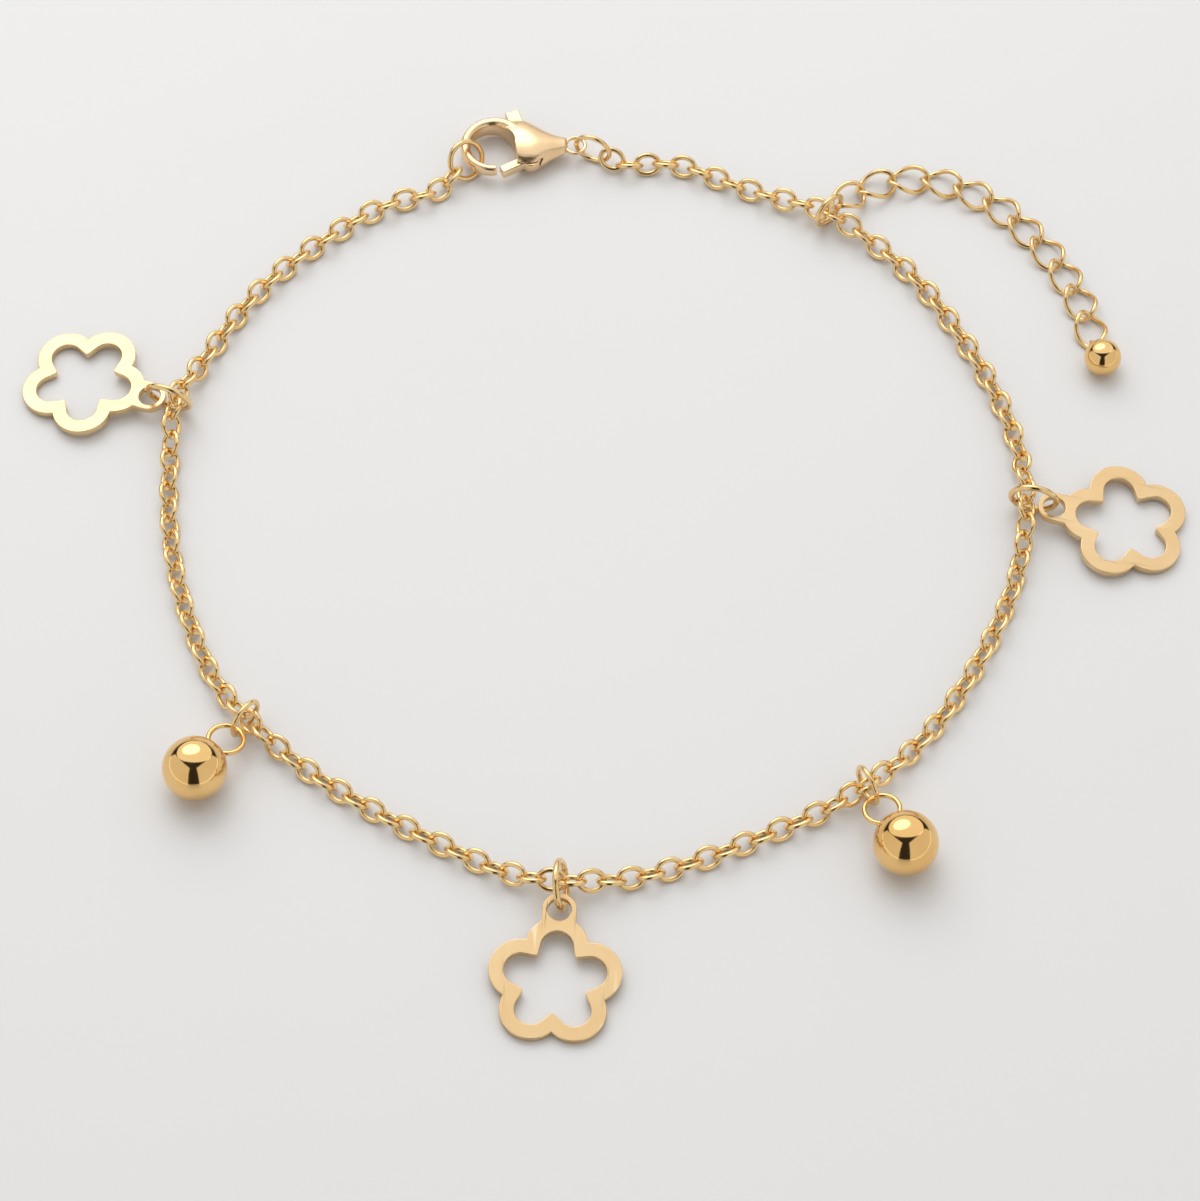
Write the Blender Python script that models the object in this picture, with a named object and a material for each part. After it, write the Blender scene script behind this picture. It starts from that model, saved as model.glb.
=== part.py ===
"""Charm anklet: a cable chain with a lobster clasp, three pierced flower charms, two ball charms and
an extender. It lies flat on a surface. Metres, +Z up, +Y away from the viewer."""

import math

import bmesh
import bpy
import numpy as np
from mathutils import Matrix, Vector

MM = 0.001

# Clearances
LINK_GAP = 0.10 * MM
BEND_ROOM = 0.08 * MM
PIN_GAP = 0.06 * MM
SLOT_GAP = 0.09 * MM

# Cable chain: oval links, each turned 45 degrees to the surface, the next one the other way
CHAIN_WIRE = 0.42 * MM
CHAIN_LINK_LENGTH = 2.42 * MM
CHAIN_LINK_WIDTH = 2.00 * MM
LINK_LEAN = math.radians(45)
LINK_SEAT = 0.10 * MM
TUBE_STEP = 3.3 * MM
LIFT_SPREAD = 3.0 * MM
HANG_FLAT = 0.70 * MM

# Jump rings: outer diameter and wire
FLOWER_RING = 4.10 * MM
FLOWER_RING_WIRE = 0.50 * MM
BALL_RING = 3.40 * MM
BALL_RING_WIRE = 0.42 * MM
CLASP_RING = 3.55 * MM
CLASP_RING_WIRE = 0.45 * MM
TAIL_RING = 3.35 * MM
TAIL_RING_WIRE = 0.42 * MM
EXTENDER_RING = 3.30 * MM
EXTENDER_RING_WIRE = 0.44 * MM

# Where the chain lies in a ring: below the ring's middle by this angle
FLOWER_SIT = math.radians(34)
BALL_SIT = math.radians(55)
EXTENDER_SIT = math.radians(25)
EXTENDER_TIP = math.radians(11)
EXTENDER_SETTLE = 1.2

# Flower charm: round petals, pierced by a smaller flower, with a round tab
FLOWER_THICK = 0.60 * MM
PETALS = 5
PETAL_RADIUS = 2.385 * MM
PETAL_CENTRE = 2.75 * MM
PETAL_STRIP = 1.13 * MM
INNER_CORNER = 2.40 * MM
INNER_FILLET = 0.20 * MM
TAB_RADIUS = 1.30 * MM
TAB_HOLE = 0.90 * MM
TAB_REACH = 5.75 * MM
TAB_LIFT = 0.79 * MM
HOLE_FROM_CHAIN = 2.20 * MM

# Ball charms and their eyelets
BALL_RADIUS = 2.50 * MM
EYELET = 3.10 * MM
EYELET_WIRE = 0.40 * MM
SMALL_BALL_RADIUS = 1.50 * MM
SMALL_EYELET = 1.34 * MM
SMALL_EYELET_WIRE = 0.30 * MM
SOLDER_DEPTH = 0.12 * MM

# Extender: curb links, each twisted a quarter turn from end to end
EXTENDER_LINKS = 11
EXTENDER_WIRE = 0.40 * MM
EXTENDER_LINK_LENGTH = 3.78 * MM
EXTENDER_LINK_WIDTH = 2.80 * MM
CURB_TWIST = math.radians(90)

# Clasp: hook, body and tail eye lie in one plane; places are from the middle of the hook's opening
CLASP_THICK = 2.40 * MM
OPENING_RADIUS = 1.86 * MM
HOOK_ROOT = math.radians(42)
HOOK_TIP = math.radians(280)
HOOK_ROOT_BAND = 1.10 * MM
HOOK_TIP_BAND = 0.70 * MM
HOOK_ROOT_THICK = 2.06 * MM
HOOK_TIP_THICK = 1.00 * MM
NOSE_SIDE = 2.05 * MM
NOSE_TOP = -1.10 * MM
TAIL_EYE = 2.00 * MM
TAIL_EYE_WIRE = 0.36 * MM
TAIL_EYE_PLACE = (6.91 * MM, 0.47 * MM)
PIVOT = (3.20 * MM, -1.05 * MM)
LEVER_HUB = 0.95 * MM
LEVER_THICK = 0.90 * MM
LEVER_WIDTH = 0.75 * MM
LEVER_REACH = 2.78 * MM
LEVER_ANGLE = math.radians(210)
THUMB_WIDTH = 1.20 * MM
THUMB_REACH = 5.03 * MM
THUMB_ANGLE = math.radians(110)
THUMB_SLOT_REACH = 7.50 * MM
SLOT_END = math.radians(300)
PIN_RADIUS = 0.35 * MM
PIN_LENGTH = 1.60 * MM
LEVER_SWING = math.radians(28)
# Body from the hook end to the neck: place along, middle, half width and half thickness in mm
BODY_SECTIONS = [
    (0.45, 0.90, 0.90, 0.50), (0.80, 0.75, 1.60, 0.85), (1.40, 0.55, 2.20, 1.10), (2.00, 0.45, 2.42, 1.20),
    (2.60, 0.35, 2.48, 1.20), (3.20, 0.22, 2.32, 1.16), (3.70, 0.12, 2.12, 1.08), (4.20, 0.15, 1.75, 0.97),
    (4.80, 0.23, 1.33, 0.83), (5.40, 0.30, 1.03, 0.68), (6.10, 0.42, 0.78, 0.52),
]

# Clasp's place and heading, and how its jump rings lie
CLASP_PLACE = (-8.98, 43.13)
CLASP_HEADING = math.radians(-1)
CLASP_RING_SEAT = math.radians(212)
CLASP_RING_REACH = 2.60 * MM
CLASP_RING_HEADING = math.radians(222)
CLASP_RING_LEAN = math.radians(-35)
FIRST_LINK_DROP = math.radians(14)
TAIL_RING_SEAT = math.radians(-25)
TAIL_RING_HEADING = math.radians(-20)
LAST_LINK_DROP = math.radians(21)

# Charms: where the chain holds them in mm, heading away from the chain and lean of the ring in degrees
FLOWERS = {
    "left": (-34.2, 17.6, 161.0, 10.0),
    "front": (-2.86, -25.4, 266.6, -12.0),
    "right": (33.8, 8.25, -11.2, -5.0),
}
BALLS = {
    "left": (-27.27, -11.35, 233.3, 0.0),
    "right": (20.34, -17.16, -63.6, 0.0),
}
EXTENDER = (18.61, 36.11, 45.0, 0.0)

# Where the chain lies: chosen points along its middle in mm, from the hook round to the tail
CHAIN_ROUTE = [
    (-16.5, 38.1), (-21.8, 34.9), (-26.3, 30.9), (-30.0, 26.0), (-32.9, 20.6), (-34.2, 17.6),
    (-34.4, 14.8), (-34.3, 8.7), (-33.5, 2.6), (-31.8, -3.2), (-29.2, -8.7), (-25.2, -13.2),
    (-20.3, -17.0), (-15.1, -20.2), (-9.8, -23.0), (-4.1, -25.2), (2.0, -24.8), (7.8, -23.1),
    (13.4, -20.7), (18.9, -18.0), (23.6, -14.2), (27.4, -9.4), (30.4, -4.1), (32.7, 1.5),
    (33.8, 7.5), (33.5, 13.6), (31.8, 19.4), (29.2, 24.9), (26.0, 30.1), (21.7, 34.4),
    (16.5, 37.5), (10.8, 39.9), (5.1, 41.9),
]
# Where the extender lies, after its first link
EXTENDER_ROUTE = [
    (23.1, 39.7), (25.8, 40.3), (28.6, 40.0), (31.3, 38.8), (33.7, 37.0),
    (35.7, 34.7), (37.4, 32.3), (38.7, 29.7), (39.7, 27.0), (40.3, 24.3), (40.9, 22.6), (42.2, 19.8),
]

# Fineness of the meshes
RING_SIDES = 14
WIRE_SIDES = 6
LINK_SIDES = 14
BALL_SIDES = 16
PETAL_STEPS = 8
TAB_SIDE_STEPS = 2
LOBE_STEPS = 6
FILLET_STEPS = 2
PIN_SIDES = 12
HUB_STEP = math.radians(24)
TIP_STEP = math.radians(10)
SECTION_SIDES = 14
HOOK_SIDES = 8
HOOK_SECTIONS = 15
SPAN_STEPS = 40
HEADING_REACH = 0.3 * MM
TWIST_STEPS = 60
WELD = 0.001 * MM

UP = Vector((0, 0, 1))


# Scene and materials

def clear_scene():
    for obj in list(bpy.data.objects):
        bpy.data.objects.remove(obj, do_unlink=True)


def new_collection(name):
    group = bpy.data.collections.new(name)
    bpy.context.scene.collection.children.link(group)
    return group


def gold(name, colour, roughness):
    material = bpy.data.materials.new(name)
    material.use_nodes = True
    shader = material.node_tree.nodes["Principled BSDF"]
    shader.inputs["Base Color"].default_value = (*colour, 1)
    shader.inputs["Metallic"].default_value = 1.0
    shader.inputs["Roughness"].default_value = roughness
    return material


def place_in(obj, group):
    for other in list(obj.users_collection):
        other.objects.unlink(obj)
    group.objects.link(obj)
    return obj


# Curves and frames

class Route:
    """A smooth curve through chosen points, read by the distance along it."""

    def __init__(self, points):
        knots = np.array(points, dtype=float)
        spans = np.linalg.norm(np.diff(knots, axis=0), axis=1)
        count = len(knots)
        system = np.eye(count)
        right = np.zeros_like(knots)
        for i in range(1, count - 1):
            before, after = spans[i - 1], spans[i]
            system[i, i - 1:i + 2] = before, 2 * (before + after), after
            right[i] = 6 * ((knots[i + 1] - knots[i]) / after - (knots[i] - knots[i - 1]) / before)
        bend = np.linalg.solve(system, right)
        fine = []
        for i in range(count - 1):
            for share in np.linspace(0, 1, SPAN_STEPS, endpoint=False):
                low, high = 1 - share, share
                fine.append(
                    low * knots[i] + high * knots[i + 1]
                    + ((low**3 - low) * bend[i] + (high**3 - high) * bend[i + 1]) * spans[i] ** 2 / 6
                )
        fine.append(knots[-1])
        self.fine = np.array(fine)
        steps = np.linalg.norm(np.diff(self.fine, axis=0), axis=1)
        self.along = np.concatenate([[0.0], np.cumsum(steps)])
        self.length = self.along[-1]

    def at(self, station):
        return Vector([float(np.interp(station, self.along, self.fine[:, axis])) for axis in range(3)])

    def heading(self, station):
        return (self.at(station + HEADING_REACH) - self.at(station - HEADING_REACH)).normalized()

    def nearest(self, x, y):
        return float(self.along[np.argmin(np.hypot(self.fine[:, 0] - x * MM, self.fine[:, 1] - y * MM))])


def flat_direction(angle):
    return Vector((math.cos(angle), math.sin(angle), 0))


def frame_of(origin, first, second):
    """Matrix whose X runs along first and whose Y lies in the plane of first and second."""
    x_axis = first.normalized()
    z_axis = x_axis.cross(second).normalized()
    y_axis = z_axis.cross(x_axis)
    matrix = Matrix((x_axis, y_axis, z_axis)).transposed().to_4x4()
    matrix.translation = origin
    return matrix


def leaning(direction, lean):
    """The way up inside a plane that holds the direction and leans from upright about it."""
    side = UP.cross(direction).normalized()
    return UP * math.cos(lean) + side * math.sin(lean)


def arc(centre, radius, start, end, steps):
    angles = np.linspace(start, end, steps + 1)
    return [(centre[0] + radius * math.cos(a), centre[1] + radius * math.sin(a)) for a in angles]


# Makers of single solids

def ring(name, outer, wire, matrix, material, group):
    bpy.ops.mesh.primitive_torus_add(
        major_segments=RING_SIDES, minor_segments=WIRE_SIDES,
        major_radius=(outer - wire) / 2, minor_radius=wire / 2,
    )
    obj = bpy.context.object
    obj.name = name
    obj.matrix_world = matrix
    obj.data.materials.append(material)
    obj.data.shade_smooth()
    return place_in(obj, group)


def wire_curve(name, points, wire, cyclic, resolution):
    curve = bpy.data.curves.new(name, "CURVE")
    curve.dimensions = "3D"
    curve.bevel_depth = wire / 2
    curve.bevel_resolution = resolution
    curve.use_fill_caps = not cyclic
    spline = curve.splines.new("POLY")
    spline.points.add(len(points) - 1)
    for point, place in zip(spline.points, points):
        point.co = (*place, 1)
    spline.use_cyclic_u = cyclic
    return curve


def outline_curve(name, outlines, thick):
    curve = bpy.data.curves.new(name, "CURVE")
    curve.dimensions = "2D"
    curve.fill_mode = "BOTH"
    curve.extrude = thick / 2
    for outline in outlines:
        spline = curve.splines.new("POLY")
        spline.points.add(len(outline) - 1)
        for point, (x, y) in zip(spline.points, outline):
            point.co = (x, y, 0, 1)
        spline.use_cyclic_u = True
    return curve


def mesh_of_curve(curve, name, matrix, group):
    """Turn a curve into a closed mesh object at the matrix."""
    holder = bpy.data.objects.new(name + "_curve", curve)
    bpy.context.scene.collection.objects.link(holder)
    bpy.context.view_layer.update()
    evaluated = holder.evaluated_get(bpy.context.evaluated_depsgraph_get())
    mesh = bpy.data.meshes.new_from_object(evaluated)
    bpy.data.objects.remove(holder, do_unlink=True)
    work = bmesh.new()
    work.from_mesh(mesh)
    bmesh.ops.remove_doubles(work, verts=work.verts, dist=WELD)
    bmesh.ops.recalc_face_normals(work, faces=work.faces)
    work.to_mesh(mesh)
    work.free()
    obj = bpy.data.objects.new(name, mesh)
    obj.matrix_world = matrix
    group.objects.link(obj)
    return obj


def loft(name, sections, matrix, group):
    """A closed solid through rings of points with the same count, with flat ends."""
    work = bmesh.new()
    rings = [[work.verts.new(point) for point in section] for section in sections]
    sides = len(rings[0])
    for near, far in zip(rings, rings[1:]):
        for i in range(sides):
            j = (i + 1) % sides
            work.faces.new((near[i], near[j], far[j], far[i]))
    work.faces.new(reversed(rings[0]))
    work.faces.new(rings[-1])
    bmesh.ops.recalc_face_normals(work, faces=work.faces)
    mesh = bpy.data.meshes.new(name)
    work.to_mesh(mesh)
    work.free()
    obj = bpy.data.objects.new(name, mesh)
    obj.matrix_world = matrix
    group.objects.link(obj)
    return obj


def combine(obj, operation, other, tools):
    """Add a live Boolean and put the other object among the hidden tools."""
    modifier = obj.modifiers.new(operation.title(), "BOOLEAN")
    modifier.operation = operation
    modifier.solver = "EXACT"
    modifier.object = other
    place_in(other, tools)
    other.hide_render = True
    other.display_type = "WIRE"


def finish(obj, material):
    if not obj.data.materials:
        obj.data.materials.append(material)
    obj.data.shade_smooth()
    return obj


# Links

def oval(length, width, wire, twist):
    """Middle line of an oval link along X; its ends are turned by half the twist each way."""
    reach = (length - wire) / 2
    half = (width - wire) / 2
    points = []
    for k in range(LINK_SIDES):
        turn = 2 * math.pi * k / LINK_SIDES
        x = reach * math.cos(turn)
        y = half * math.sin(turn)
        roll = twist / 2 * x / reach
        points.append((x, y * math.cos(roll), y * math.sin(roll)))
    return points


def chain_depth():
    """Height of the chain as it lies: two leaning links across each other."""
    return (CHAIN_LINK_WIDTH - CHAIN_WIRE) * math.sin(LINK_LEAN) + CHAIN_WIRE


# Flower charms

def flower_outlines():
    petal_turn = 2 * math.pi / PETALS
    half_turn = petal_turn / 2
    across = PETAL_CENTRE * math.sin(half_turn)
    notch = PETAL_CENTRE * math.cos(half_turn) + math.sqrt(PETAL_RADIUS**2 - across**2)
    notch_angle = math.atan2(notch * math.sin(half_turn), notch * math.cos(half_turn) - PETAL_CENTRE)
    tab_angle = math.asin(TAB_RADIUS / PETAL_RADIUS)
    outer = []
    for petal in range(PETALS):
        turn = petal * petal_turn
        centre = (PETAL_CENTRE * math.cos(turn), PETAL_CENTRE * math.sin(turn))
        if petal == 0:
            outer += arc(centre, PETAL_RADIUS, -notch_angle, -tab_angle, TAB_SIDE_STEPS)
            outer += arc((TAB_REACH, 0), TAB_RADIUS, -math.pi / 2, math.pi / 2, PETAL_STEPS)
            outer += arc(centre, PETAL_RADIUS, tab_angle, notch_angle, TAB_SIDE_STEPS)[:-1]
        else:
            outer += arc(centre, PETAL_RADIUS, turn - notch_angle, turn + notch_angle, PETAL_STEPS)[:-1]
    lobe = PETAL_RADIUS - PETAL_STRIP
    corner = Vector((INNER_CORNER * math.cos(half_turn) - PETAL_CENTRE, INNER_CORNER * math.sin(half_turn)))
    lobe_angle = math.atan2(corner.y, corner.x) - math.acos(lobe / corner.length)
    spread = lobe_angle - half_turn
    fillet_reach = INNER_CORNER + INNER_FILLET / math.cos(spread)
    inner = []
    for petal in range(PETALS):
        turn = petal * petal_turn
        centre = (PETAL_CENTRE * math.cos(turn), PETAL_CENTRE * math.sin(turn))
        inner += arc(centre, lobe, turn - lobe_angle, turn + lobe_angle, LOBE_STEPS)
        along = turn + half_turn
        centre = (fillet_reach * math.cos(along), fillet_reach * math.sin(along))
        facing = along + math.pi
        inner += arc(centre, INNER_FILLET, facing + spread, facing - spread, FILLET_STEPS)
    hole = arc((TAB_REACH, 0), TAB_HOLE, 0, 2 * math.pi, RING_SIDES)[:-1]
    return [outer, inner, hole]


def free_radius(outer, wire):
    """Room in a ring from its middle to the flat of its inner side."""
    return (outer - wire) / 2 * math.cos(math.pi / RING_SIDES) - wire / 2


def hang_room(outer, wire, lean):
    """How far the chain's middle can lie from the ring's middle."""
    return free_radius(outer, wire) - chain_depth() / 2 / math.cos(lean) - LINK_GAP


def ring_height(outer, wire, lean):
    """Height of a ring's middle when it stands on the surface."""
    return (outer - wire) / 2 * math.cos(lean) + wire / 2


def hang_height(outer, wire, lean, sit):
    """Height of the chain's middle where it lies in a ring."""
    return ring_height(outer, wire, lean) - hang_room(outer, wire, lean) * math.sin(sit) * math.cos(lean)


def hang_ring(name, outer, wire, sit, place, out, lean, material, group):
    """A ring round the chain. Returns its middle."""
    middle = place + out * hang_room(outer, wire, lean) * math.cos(sit)
    middle.z = ring_height(outer, wire, lean)
    ring(name, outer, wire, frame_of(middle, out, leaning(out, lean)), material, group)
    return middle


def make_flower(side, route, materials, group):
    x, y, heading, lean = FLOWERS[side]
    out = flat_direction(math.radians(heading))
    place = route.at(route.nearest(x, y))
    hang_ring(
        f"flower_ring_{side}", FLOWER_RING, FLOWER_RING_WIRE, FLOWER_SIT, place, out, math.radians(lean),
        materials["wire"], group,
    )
    back = PETAL_CENTRE * math.cos(math.pi / PETALS) + PETAL_RADIUS
    tilt = math.asin(TAB_LIFT / (back + TAB_REACH))
    centre = place + out * (HOLE_FROM_CHAIN + TAB_REACH * math.cos(tilt))
    centre.z = back * math.sin(tilt)
    matrix = Matrix.Translation(centre) @ Matrix.Rotation(math.radians(heading) + math.pi, 4, "Z")
    matrix = matrix @ Matrix.Rotation(-tilt, 4, "Y") @ Matrix.Translation((0, 0, FLOWER_THICK / 2))
    curve = outline_curve(f"flower_{side}", flower_outlines(), FLOWER_THICK)
    flower = mesh_of_curve(curve, f"flower_{side}", matrix, group)
    flower.data.materials.append(materials["plate"])
    return flower


# Ball charms

def ball_with_eyelet(name, radius, eyelet, wire, eye_middle, ball_middle, across, material, group, tools):
    """A ball with its wire eyelet soldered on; across lies in the eyelet's plane."""
    bpy.ops.mesh.primitive_uv_sphere_add(
        segments=BALL_SIDES, ring_count=BALL_SIDES // 2 + 2, radius=radius, location=ball_middle,
    )
    ball = bpy.context.object
    ball.name = name
    place_in(ball, group)
    loop = ring(
        name + "_eyelet", eyelet, wire, frame_of(eye_middle, ball_middle - eye_middle, across),
        material, group,
    )
    combine(ball, "UNION", loop, tools)
    return finish(ball, material)


def make_ball(side, route, materials, group, tools):
    x, y, heading, lean = BALLS[side]
    out = flat_direction(math.radians(heading))
    place = route.at(route.nearest(x, y))
    middle = hang_ring(
        f"ball_ring_{side}", BALL_RING, BALL_RING_WIRE, BALL_SIT, place, out, math.radians(lean),
        materials["wire"], group,
    )
    eye_radius = (EYELET - EYELET_WIRE) / 2
    strand = free_radius(BALL_RING, BALL_RING_WIRE) - EYELET_WIRE / 2 - LINK_GAP
    eye_middle = middle + out * (strand + eye_radius)
    reach = BALL_RADIUS + eye_radius - SOLDER_DEPTH
    drop = BALL_RADIUS - eye_middle.z
    ball_middle = eye_middle + out * math.sqrt(reach**2 - drop**2)
    ball_middle.z = BALL_RADIUS
    across = UP.cross(out)
    return ball_with_eyelet(
        f"ball_{side}", BALL_RADIUS, EYELET, EYELET_WIRE, eye_middle, ball_middle, across,
        materials["ball"], group, tools,
    )


# Extender

def make_extender(route, materials, group, tools):
    x, y, heading, lean = EXTENDER
    out = flat_direction(math.radians(heading))
    place = route.at(route.nearest(x, y))
    middle = hang_ring(
        "extender_ring", EXTENDER_RING, EXTENDER_RING_WIRE, EXTENDER_SIT, place, out, math.radians(lean),
        materials["wire"], group,
    )
    reach = (EXTENDER_LINK_LENGTH - EXTENDER_WIRE) / 2
    pitch = 2 * reach - EXTENDER_WIRE - LINK_GAP - BEND_ROOM
    strand = free_radius(EXTENDER_RING, EXTENDER_RING_WIRE) - EXTENDER_WIRE / 2 - LINK_GAP
    held = middle + (out * math.cos(EXTENDER_SIT) - UP * math.sin(EXTENDER_SIT)) * strand
    pull = out * math.cos(EXTENDER_TIP) - UP * math.sin(EXTENDER_TIP)
    first = held + pull * reach
    half = (EXTENDER_LINK_WIDTH - EXTENDER_WIRE) / 2
    quarter = CURB_TWIST / 2
    turns = np.linspace(0, math.pi / 2, TWIST_STEPS)
    rise = float(np.max(half * np.sin(turns) * np.sin(quarter * np.cos(turns))))
    low = rise + EXTENDER_WIRE / 2
    lay = Route(
        [(held.x, held.y, 0), (first.x, first.y, 0)] + [(x * MM, y * MM, 0) for x, y in EXTENDER_ROUTE]
    )
    start = lay.nearest(first.x / MM, first.y / MM)
    curve = wire_curve(
        "extender_link", oval(EXTENDER_LINK_LENGTH, EXTENDER_LINK_WIDTH, EXTENDER_WIRE, CURB_TWIST),
        EXTENDER_WIRE, True, 1,
    )
    curve.materials.append(materials["wire"])
    for k in range(EXTENDER_LINKS):
        along = start + k * pitch - (BEND_ROOM if k else 0)
        here = lay.at(along)
        ahead = lay.heading(along) if k else pull
        here.z = low + (first.z - low) * math.exp(-k * EXTENDER_SETTLE)
        link = bpy.data.objects.new(f"extender_link_{k + 1:02d}", curve)
        link.matrix_world = frame_of(here, ahead, UP.cross(ahead))
        group.objects.link(link)
    last = here
    eye_radius = (SMALL_EYELET - SMALL_EYELET_WIRE) / 2
    overlap = EXTENDER_WIRE / 2 + SMALL_EYELET_WIRE / 2 + LINK_GAP + BEND_ROOM
    eye_middle = last + ahead * (reach - overlap + eye_radius)
    eye_reach = SMALL_BALL_RADIUS + eye_radius - SOLDER_DEPTH
    drop = SMALL_BALL_RADIUS - low
    ball_middle = eye_middle + ahead * math.sqrt(eye_reach**2 - drop**2)
    ball_middle.z = SMALL_BALL_RADIUS
    across = leaning(ahead, -CURB_TWIST / 2)
    ball_with_eyelet(
        "extender_ball", SMALL_BALL_RADIUS, SMALL_EYELET, SMALL_EYELET_WIRE, eye_middle, ball_middle,
        across, materials["ball"], group, tools,
    )


# Clasp

def ellipse(x, y, half_width, half_thick):
    points = []
    for k in range(SECTION_SIDES):
        turn = 2 * math.pi * k / SECTION_SIDES
        points.append((x, y + half_width * math.cos(turn), half_thick * math.sin(turn)))
    return points


def hook_section(angle):
    share = (angle - HOOK_ROOT) / (HOOK_TIP - HOOK_ROOT)
    band = HOOK_ROOT_BAND * (1 - share) + HOOK_TIP_BAND * share
    thick = HOOK_ROOT_THICK * (1 - share) + HOOK_TIP_THICK * share
    corner = math.cos(math.pi / HOOK_SIDES)
    points = []
    for k in range(HOOK_SIDES):
        turn = 2 * math.pi * (k + 0.5) / HOOK_SIDES
        across = OPENING_RADIUS + band / 2 + band / 2 / corner * math.cos(turn)
        height = thick / 2 / corner * math.sin(turn)
        points.append((across * math.cos(angle), across * math.sin(angle), height))
    return points


def spider(hub, arms):
    """Outline round a pivot: a round hub with straight-sided arms.

    Each arm has its first and last angle, width and reach.
    """
    points = []
    turn = arms[-1][1] - 2 * math.pi + math.asin(arms[-1][2] / 2 / hub)
    for first, last, width, reach in arms:
        root = math.asin(width / 2 / hub)
        tip = math.asin(width / 2 / reach)
        steps = max(1, round((first - root - turn) / HUB_STEP))
        points += arc((0, 0), hub, turn, first - root, steps)
        steps = max(1, round((last - first + 2 * tip) / TIP_STEP))
        points += arc((0, 0), reach, first - tip, last + tip, steps)
        turn = last + root
    return points


def make_clasp(group, tools, materials):
    """Returns the clasp's matrix."""
    turn = Matrix.Rotation(CLASP_HEADING, 4, "Z")
    matrix = Matrix.Translation((CLASP_PLACE[0] * MM, CLASP_PLACE[1] * MM, CLASP_THICK / 2)) @ turn
    sections = [
        ellipse(along * MM, middle * MM, width * MM, thick * MM)
        for along, middle, width, thick in BODY_SECTIONS
    ]
    body = loft("clasp_body", sections, matrix, group)
    below = -2 * CLASP_THICK
    opening = arc((0, 0), OPENING_RADIUS, 0, math.pi, RING_SIDES)
    opening += [(-OPENING_RADIUS, below), (NOSE_SIDE, below), (NOSE_SIDE, NOSE_TOP)]
    cutter = mesh_of_curve(outline_curve("opening_cutter", [opening], 2 * CLASP_THICK),
                           "opening_cutter", matrix, group)
    combine(body, "DIFFERENCE", cutter, tools)

    angles = np.linspace(HOOK_ROOT, HOOK_TIP, HOOK_SECTIONS)
    hook = loft("hook_band", [hook_section(a) for a in angles], matrix, group)
    combine(body, "UNION", hook, tools)

    eye = ring("tail_eye", TAIL_EYE, TAIL_EYE_WIRE,
               matrix @ Matrix.Translation((*TAIL_EYE_PLACE, 0)), materials["cast"], group)
    combine(body, "UNION", eye, tools)

    pivot = matrix @ Matrix.Translation((*PIVOT, 0))
    slot_outline = spider(LEVER_HUB + SLOT_GAP, [
        (THUMB_ANGLE - LEVER_SWING, THUMB_ANGLE, THUMB_WIDTH + 2 * SLOT_GAP, THUMB_SLOT_REACH),
        (LEVER_ANGLE - LEVER_SWING, SLOT_END, LEVER_WIDTH + 2 * SLOT_GAP, LEVER_REACH + SLOT_GAP),
    ])
    slot = mesh_of_curve(outline_curve("lever_slot", [slot_outline], LEVER_THICK + 2 * SLOT_GAP),
                         "lever_slot", pivot, group)
    combine(body, "DIFFERENCE", slot, tools)

    bpy.ops.mesh.primitive_cylinder_add(vertices=PIN_SIDES, radius=PIN_RADIUS, depth=PIN_LENGTH)
    pin = bpy.context.object
    pin.name = "clasp_pin"
    pin.matrix_world = pivot
    combine(body, "UNION", pin, tools)
    finish(body, materials["cast"])

    lever_outline = spider(LEVER_HUB, [
        (THUMB_ANGLE, THUMB_ANGLE, THUMB_WIDTH, THUMB_REACH),
        (LEVER_ANGLE, LEVER_ANGLE, LEVER_WIDTH, LEVER_REACH),
    ])
    bore = arc((0, 0), PIN_RADIUS + PIN_GAP, 0, 2 * math.pi, PIN_SIDES)[:-1]
    lever = mesh_of_curve(outline_curve("clasp_lever", [lever_outline, bore], LEVER_THICK),
                          "clasp_lever", pivot, group)
    lever.data.materials.append(materials["cast"])
    return matrix


# Chain

def end_link(name, middle, ahead, group):
    curve = wire_curve(name, oval(CHAIN_LINK_LENGTH, CHAIN_LINK_WIDTH, CHAIN_WIRE, 0), CHAIN_WIRE, True, 1)
    across = leaning(ahead, math.pi / 2 - LINK_LEAN)
    return mesh_of_curve(curve, name, frame_of(middle, ahead, across), group)


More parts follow.
